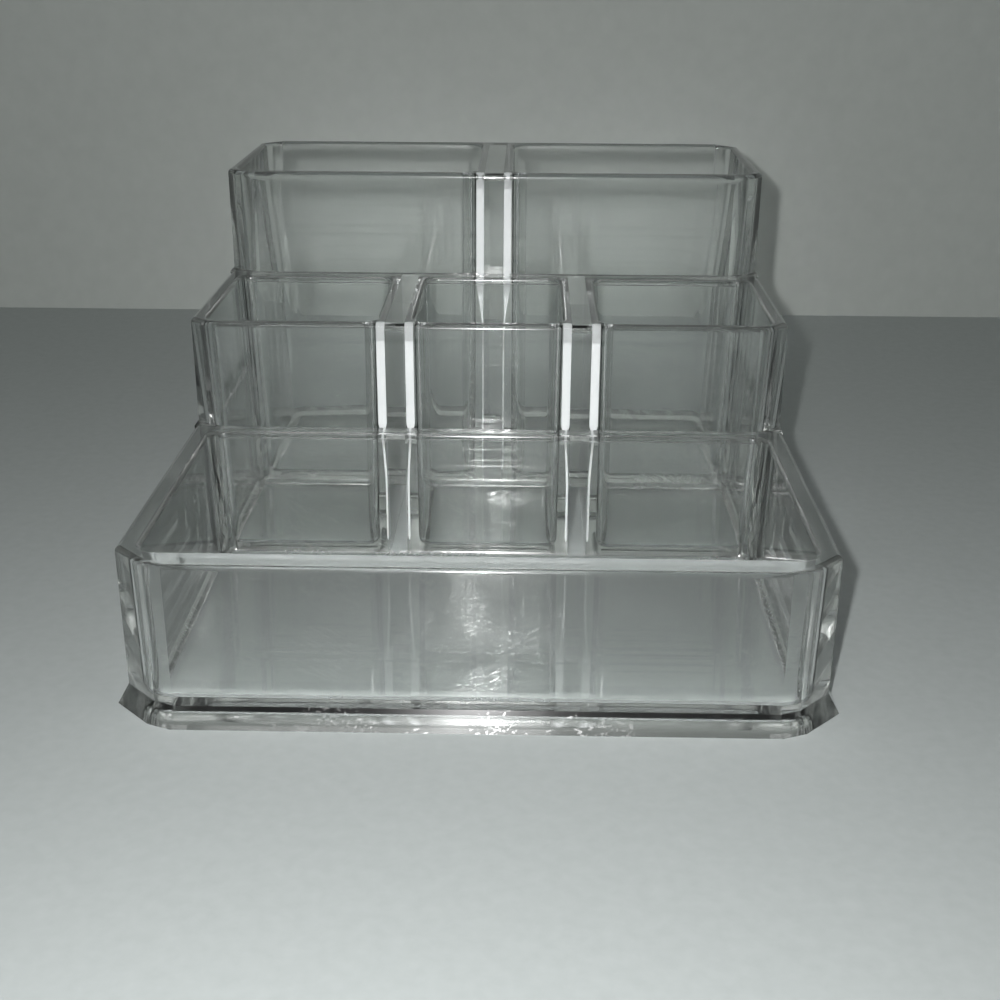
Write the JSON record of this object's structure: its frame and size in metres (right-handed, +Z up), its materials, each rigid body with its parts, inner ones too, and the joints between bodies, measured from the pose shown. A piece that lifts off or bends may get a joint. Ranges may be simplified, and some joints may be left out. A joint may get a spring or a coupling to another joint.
{
  "type": "vanity organizer",
  "caption": "Clear stepped organizer for cosmetics and bathroom things, with a low open tray in front, cups on a middle step and tall cups at the back",
  "frame": {"origin": "middle of the flat underside of the foot, at table height", "axes": "+X to the right seen from the front, +Y from the front tray to the back cups, +Z up"},
  "size_m": [0.157, 0.2084, 0.093],
  "materials": {
    "front_tray": "clear polished moulded plastic",
    "middle_left_cup": "clear polished moulded plastic",
    "middle_center_cup": "clear polished moulded plastic",
    "middle_right_cup": "clear polished moulded plastic",
    "back_left_cup": "clear polished moulded plastic",
    "back_right_cup": "clear polished moulded plastic",
    "middle_left_divider_web": "clear polished moulded plastic",
    "middle_right_divider_web": "clear polished moulded plastic",
    "back_divider_web": "clear polished moulded plastic"
  },
  "bodies": {
    "root": {"front_tray": "front_tray", "middle_left_cup": "middle_left_cup", "middle_center_cup": "middle_center_cup", "middle_right_cup": "middle_right_cup", "back_left_cup": "back_left_cup", "back_right_cup": "back_right_cup", "middle_left_divider_web": "middle_left_divider_web", "middle_right_divider_web": "middle_right_divider_web", "back_divider_web": "back_divider_web"}
  },
  "joints": []
}
